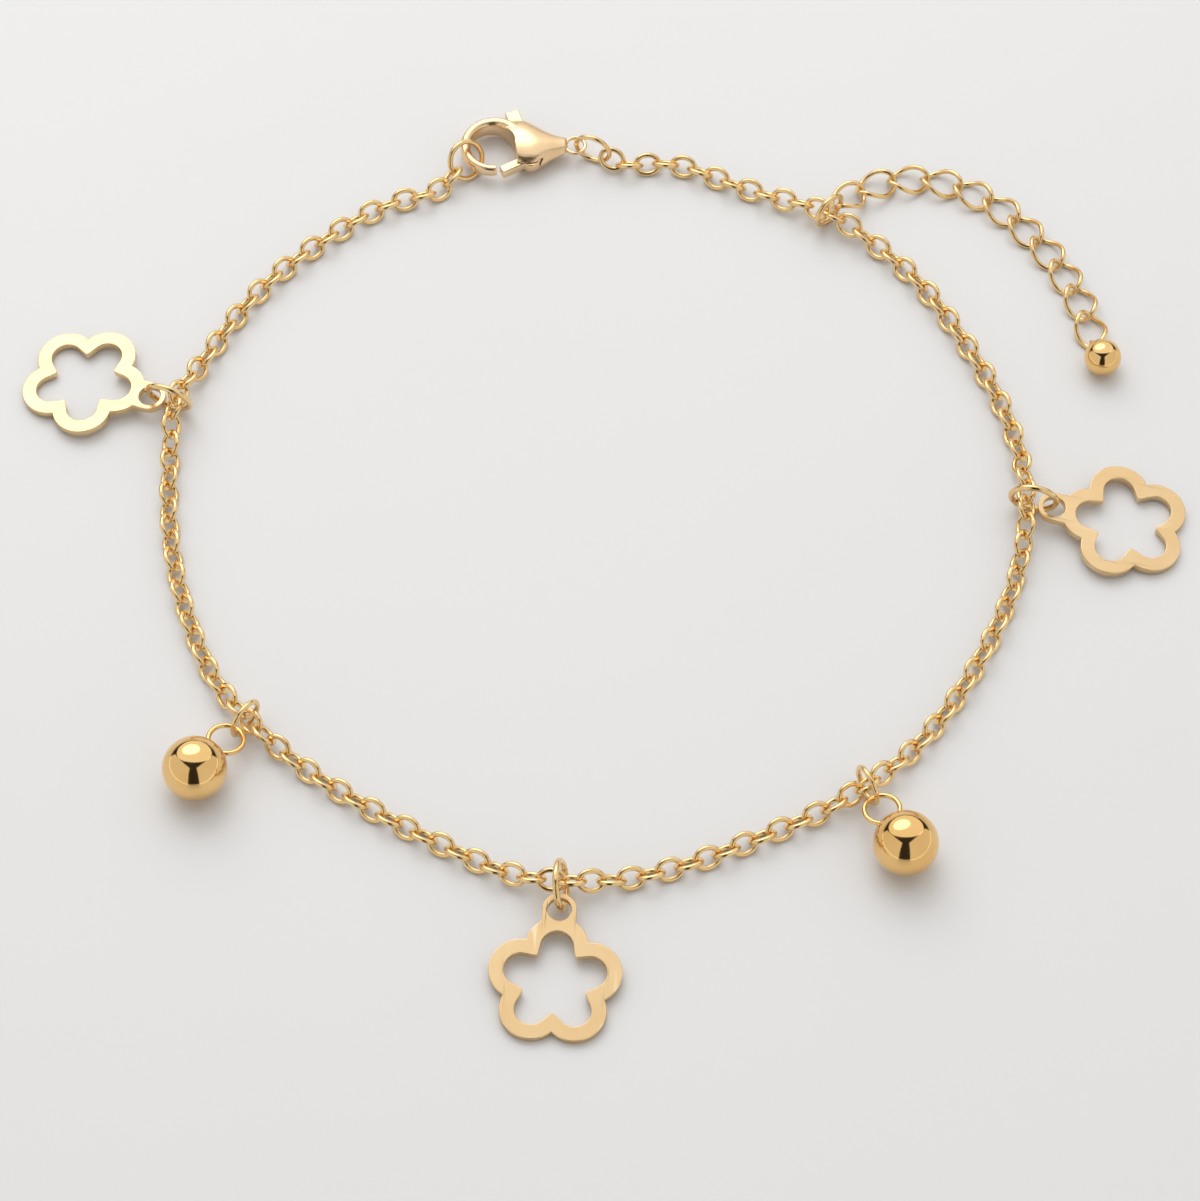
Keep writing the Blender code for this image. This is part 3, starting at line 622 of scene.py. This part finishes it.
def make_ring(node, materials):
    """A jump ring of round wire with its hairline opening, where the node's ring is."""
    points = points_of(node)
    middle, directions = lie_of(points)
    normal = directions[2]
    flat = points - np.array(middle)
    flat = flat - np.outer(flat @ np.array(normal), np.array(normal))
    away = np.linalg.norm(flat, axis=1)
    wire = away.max() - away.min()
    radius = (away.max() + away.min()) / 2
    start = UP - normal * UP.dot(normal)
    matrix = frame_of(middle, start if start.length > LEAST_TILT else Vector((1, 0, 0)), normal.cross(start))
    half = SEAM / 2 / radius
    turns = np.linspace(half, 2 * math.pi - half, RING_POINTS) + SEAM_TURN
    loop = [matrix @ point for point in circle(radius, turns)]
    piece = mesh_of(wires(node + "_wire", [loop], wire, False), Matrix())
    return finish_piece(piece, materials, "gold_wire", "anklet", node)


def make_extender_link(node, materials):
    """A curb link where the node's link is."""
    middle, directions = lie_of(points_of(node))
    matrix = frame_of(middle, directions[0], directions[1])
    shape = oval(EXTENDER_LINK_LENGTH, EXTENDER_LINK_WIDTH, EXTENDER_WIRE, CURB_TWIST, CURB_POINTS)
    loop = [matrix @ point for point in shape]
    piece = mesh_of(wires(node + "_wire", [loop], EXTENDER_WIRE, True), Matrix())
    return finish_piece(piece, materials, "gold_wire", "anklet", node)


# Flowers

def flower_outlines():
    petal_turn = 2 * math.pi / PETALS
    half_turn = petal_turn / 2
    across = PETAL_CENTRE * math.sin(half_turn)
    notch = PETAL_CENTRE * math.cos(half_turn) + math.sqrt(PETAL_RADIUS**2 - across**2)
    notch_angle = math.atan2(notch * math.sin(half_turn), notch * math.cos(half_turn) - PETAL_CENTRE)
    tab_angle = math.asin(TAB_RADIUS / PETAL_RADIUS)
    outer = []
    for petal in range(PETALS):
        turn = petal * petal_turn
        centre = (PETAL_CENTRE * math.cos(turn), PETAL_CENTRE * math.sin(turn))
        if petal == 0:
            outer += arc(centre, PETAL_RADIUS, -notch_angle, -tab_angle)
            outer += arc((TAB_REACH, 0), TAB_RADIUS, -math.pi / 2, math.pi / 2)
            outer += arc(centre, PETAL_RADIUS, tab_angle, notch_angle)[:-1]
        else:
            outer += arc(centre, PETAL_RADIUS, turn - notch_angle, turn + notch_angle)[:-1]
    lobe = PETAL_RADIUS - PETAL_STRIP
    corner = Vector((INNER_CORNER * math.cos(half_turn) - PETAL_CENTRE, INNER_CORNER * math.sin(half_turn)))
    lobe_angle = math.atan2(corner.y, corner.x) - math.acos(lobe / corner.length)
    spread = lobe_angle - half_turn
    fillet_reach = INNER_CORNER + INNER_FILLET / math.cos(spread)
    inner = []
    for petal in range(PETALS):
        turn = petal * petal_turn
        centre = (PETAL_CENTRE * math.cos(turn), PETAL_CENTRE * math.sin(turn))
        inner += arc(centre, lobe, turn - lobe_angle, turn + lobe_angle)
        along = turn + half_turn
        centre = (fillet_reach * math.cos(along), fillet_reach * math.sin(along))
        facing = along + math.pi
        inner += arc(centre, INNER_FILLET, facing + spread, facing - spread)
    hole = arc((TAB_REACH, 0), TAB_HOLE, 0, 2 * math.pi)[:-1]
    return [outer, inner, hole]


def make_flower(node, materials):
    points = points_of(node)
    middle, directions = lie_of(points)
    normal = directions[2] if directions[2].z > 0 else -directions[2]
    held_by = lie_of(points_of(node.replace("flower", "flower_ring")))[0]
    ahead = held_by - middle
    ahead = (ahead - normal * ahead.dot(normal)).normalized()
    reach = (points - np.array(middle)) @ np.array(ahead)
    height = (points - np.array(middle)) @ np.array(normal)
    level = (height.max() + height.min()) / 2
    centre = middle + ahead * (reach.max() - TAB_REACH - TAB_RADIUS) + normal * level
    matrix = frame_of(centre, ahead, normal.cross(ahead))
    piece = mesh_of(plate(node + "_plate", flower_outlines(), FLOWER_THICK, FLOWER_EDGE), matrix)
    finish_piece(piece, materials, "gold_plate", "anklet", node)
    return keep_faces_flat(piece, normal)


# Balls

def make_ball(node, materials):
    """A polished ball with its wire eyelet and the solder that holds it."""
    eyelet, wire = EYELETS[node]
    points = points_of(node)
    top = points[np.argmax(points[:, 2])]
    radius = top[2] / 2
    centre = Vector((top[0], top[1], radius))
    away = points - np.array(centre)
    distance = np.linalg.norm(away, axis=1)
    far = Vector(away[np.argmax(distance)])
    toward = far.normalized()
    loop_points = away[distance > radius + wire / 2]
    loop_normal = Vector(np.linalg.svd(loop_points - loop_points.mean(axis=0), full_matrices=False)[2][2])
    loop_radius = (eyelet - wire) / 2
    middle = centre + toward * (far.length - eyelet / 2)

    mesh = bpy.data.meshes.new(node + "_polished")
    work = bmesh.new()
    bmesh.ops.create_uvsphere(work, u_segments=SPHERE_SIDES, v_segments=SPHERE_SIDES // 2, radius=radius,
                              matrix=Matrix.Translation(centre))
    beside = UP if abs(toward.z) < STEEPEST else Vector((1, 0, 0))
    contact = frame_of(centre + toward * radius, toward, beside)
    flat_bead = contact @ Matrix.Diagonal((SOLDER_FLATNESS, 1.0, 1.0, 1.0))
    bmesh.ops.create_uvsphere(work, u_segments=SPHERE_SIDES // 3, v_segments=SPHERE_SIDES // 4,
                              radius=wire * SOLDER_SIZE, matrix=flat_bead)
    work.to_mesh(mesh)
    work.free()
    ball = new_object(node + "_polished", mesh)

    matrix = frame_of(middle, toward, loop_normal.cross(toward))
    loop = [matrix @ point for point in circle(loop_radius, full_turn(RING_POINTS))]
    wire_piece = mesh_of(wires(node + "_eyelet", [loop], wire, True), Matrix())
    piece = join([ball, wire_piece])
    return finish_piece(piece, materials, "gold_ball", "anklet", node)


# Clasp

def clasp_matrix():
    return Matrix.Translation(CLASP_PLACE) @ Matrix.Rotation(CLASP_HEADING, 4, "Z")


def body_sections(sides, steps):
    """Rounded sections of the clasp's body, from the hook to the neck."""
    shape = Route(BODY_SECTIONS)
    sections = []
    for station in np.linspace(0, shape.length, steps):
        along, middle, half_width, half_thick = shape.at(station)
        sections.append([
            (along, middle + half_width * math.cos(t), half_thick * math.sin(t)) for t in full_turn(sides)
        ])
    return sections


def hook_sections(sides, steps):
    """Sections of the hook's band: flat-sided with soft edges, thinner towards the nose."""
    sections = []
    for angle in np.linspace(HOOK_ROOT, HOOK_TIP, steps):
        share = (angle - HOOK_ROOT) / (HOOK_TIP - HOOK_ROOT)
        band = HOOK_ROOT_BAND * (1 - share) + HOOK_TIP_BAND * share
        thick = HOOK_ROOT_THICK * (1 - share) + HOOK_TIP_THICK * share
        section = []
        for t in full_turn(sides):
            reach = abs(math.cos(t)) ** HOOK_SQUARENESS + abs(math.sin(t)) ** HOOK_SQUARENESS
            soft = reach ** (-1 / HOOK_SQUARENESS)
            across = OPENING_RADIUS + band / 2 + band / 2 * soft * math.cos(t)
            section.append((across * math.cos(angle), across * math.sin(angle),
                            thick / 2 * soft * math.sin(t)))
        sections.append(section)
    return sections


def spider(hub, arms):
    """Outline round a pivot: a round hub with straight-sided arms."""
    points = []
    turn = arms[-1][1] - 2 * math.pi + math.asin(arms[-1][2] / 2 / hub)
    for first, last, width, reach in arms:
        root = math.asin(width / 2 / hub)
        tip = math.asin(width / 2 / reach)
        points += arc((0, 0), hub, turn, first - root)
        points += arc((0, 0), reach, first - tip, last + tip)
        turn = last + root
    return points


def make_clasp_body(materials):
    body = loft("clasp_cast", body_sections(BODY_SIDES, BODY_STEPS))
    below = -2 * CLASP_THICK
    opening = arc((0, 0), OPENING_RADIUS, 0, math.pi)
    opening += [(-OPENING_RADIUS, below), (NOSE_SIDE, below), (NOSE_SIDE, NOSE_TOP)]
    combine(body, "DIFFERENCE", mesh_of(plate("opening", [opening], 2 * CLASP_THICK, 0), Matrix()))
    combine(body, "UNION", loft("hook_band", hook_sections(HOOK_SIDES, HOOK_STEPS)))
    radius = (TAIL_EYE - TAIL_EYE_WIRE) / 2
    eye = [Vector(TAIL_EYE_PLACE) + point for point in circle(radius, full_turn(RING_POINTS))]
    combine(body, "UNION", mesh_of(wires("tail_eye", [eye], TAIL_EYE_WIRE, True), Matrix()))
    slot_outline = spider(LEVER_HUB + SLOT_GAP, [
        (THUMB_ANGLE - LEVER_SWING, THUMB_ANGLE, THUMB_WIDTH + 2 * SLOT_GAP, THUMB_SLOT_REACH),
        (LEVER_ANGLE - LEVER_SWING, SLOT_END, LEVER_WIDTH + 2 * SLOT_GAP, LEVER_REACH + SLOT_GAP),
    ])
    slot = plate("lever_slot", [slot_outline], LEVER_THICK + 2 * SLOT_GAP, 0)
    combine(body, "DIFFERENCE", mesh_of(slot, Matrix.Translation(PIVOT)))
    remesh = body.modifiers.new("Casting", "REMESH")
    remesh.mode = "VOXEL"
    remesh.voxel_size = CAST_GRAIN
    soften = body.modifiers.new("Polished edges", "SMOOTH")
    soften.factor = CAST_SOFTNESS
    soften.iterations = CAST_SMOOTHING
    apply_modifiers(body)
    pin = plate("clasp_pin", [arc((0, 0), PIN_RADIUS, 0, 2 * math.pi)[:-1]], PIN_LENGTH, 0)
    body = join([body, mesh_of(pin, Matrix.Translation(PIVOT))])
    body.data.transform(clasp_matrix())
    return finish_piece(body, materials, "gold_cast", "anklet", "clasp_body")


def make_lever(materials):
    outline = spider(LEVER_HUB, [
        (THUMB_ANGLE, THUMB_ANGLE, THUMB_WIDTH, THUMB_REACH),
        (LEVER_ANGLE, LEVER_ANGLE, LEVER_WIDTH, LEVER_REACH),
    ])
    bore = arc((0, 0), PIN_RADIUS + PIN_GAP, 0, 2 * math.pi)[:-1]
    curve = plate("lever_cast", [outline, bore], LEVER_THICK, LEVER_EDGE)
    lever = mesh_of(curve, clasp_matrix() @ Matrix.Translation(PIVOT))
    finish_piece(lever, materials, "gold_cast", "lever", "clasp_lever")
    return keep_faces_flat(lever, UP)


# Stage

# Floor: half its side in metres, its finish, and the faint clouds between two shares of its colour
FLOOR_HALF = 3.0
FLOOR_SEGMENTS = 8
FLOOR_COLOUR = (0.80, 0.80, 0.80)
FLOOR_ROUGHNESS = 0.35
FLOOR_SHINE = 0.3
FLOOR_CLOUDS = 9.0
FLOOR_DETAIL = 5.0
FLOOR_SHARES = (0.97, 1.02)
# World: heights between which the pale horizon turns into the dim room
HORIZON = (0.01, (0.80, 0.79, 0.78, 1))
ROOM = (0.05, (0.035, 0.03, 0.025, 1))
# Lamps: shape, place and aim in mm, width and height in mm, brightness, colour, and whether metal mirrors it
LAMPS = {
    "canopy": ("ELLIPSE", (0, 320, 410), (0, 0, 0), (1400, 1120), 0.95, (1.0, 0.985, 0.96), True),
    "canopy_core": ("ELLIPSE", (-130, 352, 386), (-130, 32, -24), (520, 420), 1.50, (1.0, 0.99, 0.97), True),
    "left_wall": (
        "RECTANGLE", (-472, 29, 147), (-397.4, 93.3, 130.4), (1000, 500), 0.72, (1.0, 0.97, 0.92), True,
    ),
    "right_wall": (
        "RECTANGLE", (422, 29, 147), (347.4, 93.3, 130.4), (1000, 500), 0.72, (1.0, 0.97, 0.92), True,
    ),
    "fill": ("ELLIPSE", (0, 300, 1100), (0, 0, 0), (1500, 1500), 0.42, (0.76, 0.84, 1.0), False),
}
LAMP_AREA = {"ELLIPSE": math.pi / 4, "RECTANGLE": 1.0}
# Way up along the walls' inner edges, measured on the photo's ball charms, which mirror them
LAMP_RISE = Vector((0, 0.25, 0.97))


def make_floor():
    mesh = bpy.data.meshes.new("floor")
    work = bmesh.new()
    bmesh.ops.create_grid(work, x_segments=FLOOR_SEGMENTS, y_segments=FLOOR_SEGMENTS, size=FLOOR_HALF)
    work.to_mesh(mesh)
    work.free()
    floor = new_object("floor", mesh)
    material = bpy.data.materials.new("pale_floor")
    material.use_nodes = True
    nodes = material.node_tree.nodes
    link = material.node_tree.links.new
    shader = nodes["Principled BSDF"]
    shader.inputs["Roughness"].default_value = FLOOR_ROUGHNESS
    shader.inputs["Specular IOR Level"].default_value = FLOOR_SHINE
    place = nodes.new("ShaderNodeTexCoord")
    cloud = nodes.new("ShaderNodeTexNoise")
    cloud.inputs["Scale"].default_value = FLOOR_CLOUDS
    cloud.inputs["Detail"].default_value = FLOOR_DETAIL
    tone = nodes.new("ShaderNodeValToRGB")
    for element, share in zip(tone.color_ramp.elements, FLOOR_SHARES):
        element.color = (*[c * share for c in FLOOR_COLOUR], 1)
    link(place.outputs["Object"], cloud.inputs["Vector"])
    link(cloud.outputs["Fac"], tone.inputs["Fac"])
    link(tone.outputs["Color"], shader.inputs["Base Color"])
    mesh.materials.append(material)


def make_lamps():
    for name, (shape, place, aim, size, brightness, colour, mirrored) in LAMPS.items():
        lamp = bpy.data.lights.new(name, "AREA")
        lamp.shape = shape
        lamp.size = size[0] * MM
        lamp.size_y = size[1] * MM
        lamp.energy = brightness * math.pi * LAMP_AREA[shape] * lamp.size * lamp.size_y
        lamp.color = colour
        obj = new_object(name, lamp)
        back = (Vector(place) - Vector(aim)).normalized()
        across = LAMP_RISE.cross(back)
        obj.matrix_world = frame_of(Vector(place) * MM, across, back.cross(across))
        obj.visible_glossy = mirrored
        obj.visible_camera = False


def make_world():
    """A dim room above a pale horizon, so that polished metal has something dark to mirror."""
    world = bpy.data.worlds.new("studio")
    world.use_nodes = True
    bpy.context.scene.world = world
    nodes = world.node_tree.nodes
    link = world.node_tree.links.new
    place = nodes.new("ShaderNodeTexCoord")
    split = nodes.new("ShaderNodeSeparateXYZ")
    ramp = nodes.new("ShaderNodeValToRGB")
    for element, (height, colour) in zip(ramp.color_ramp.elements, (HORIZON, ROOM)):
        element.position = height
        element.color = colour
    link(place.outputs["Generated"], split.inputs["Vector"])
    link(split.outputs["Z"], ramp.inputs["Fac"])
    link(ramp.outputs["Color"], nodes["Background"].inputs["Color"])


def make_camera():
    camera = bpy.data.cameras.new("camera")
    camera.lens = CAMERA_LENS
    camera.sensor_width = CAMERA_SENSOR
    camera.clip_start = CAMERA_CLIP * MM
    obj = new_object("camera", camera)
    back = Vector((0, -math.cos(CAMERA_ELEVATION), math.sin(CAMERA_ELEVATION)))
    obj.location = (Vector((*CAMERA_AIM, 0)) + back * CAMERA_DISTANCE) * MM
    obj.rotation_euler = (math.pi / 2 - CAMERA_ELEVATION, 0, 0)
    bpy.context.scene.camera = obj


def main():
    make_camera()
    make_floor()
    make_lamps()
    make_world()
    bpy.context.scene.view_settings.view_transform = "Standard"
    materials = make_materials()
    make_chain(materials)
    for node in ("clasp_ring", "tail_ring", "extender_ring", "flower_ring_left", "flower_ring_front",
                 "flower_ring_right", "ball_ring_left", "ball_ring_right"):
        make_ring(node, materials)
    for k in range(EXTENDER_LINKS):
        make_extender_link(f"extender_link_{k + 1:02d}", materials)
    for node in ("flower_left", "flower_front", "flower_right"):
        make_flower(node, materials)
    for node in EYELETS:
        make_ball(node, materials)
    make_clasp_body(materials)
    make_lever(materials)


main()
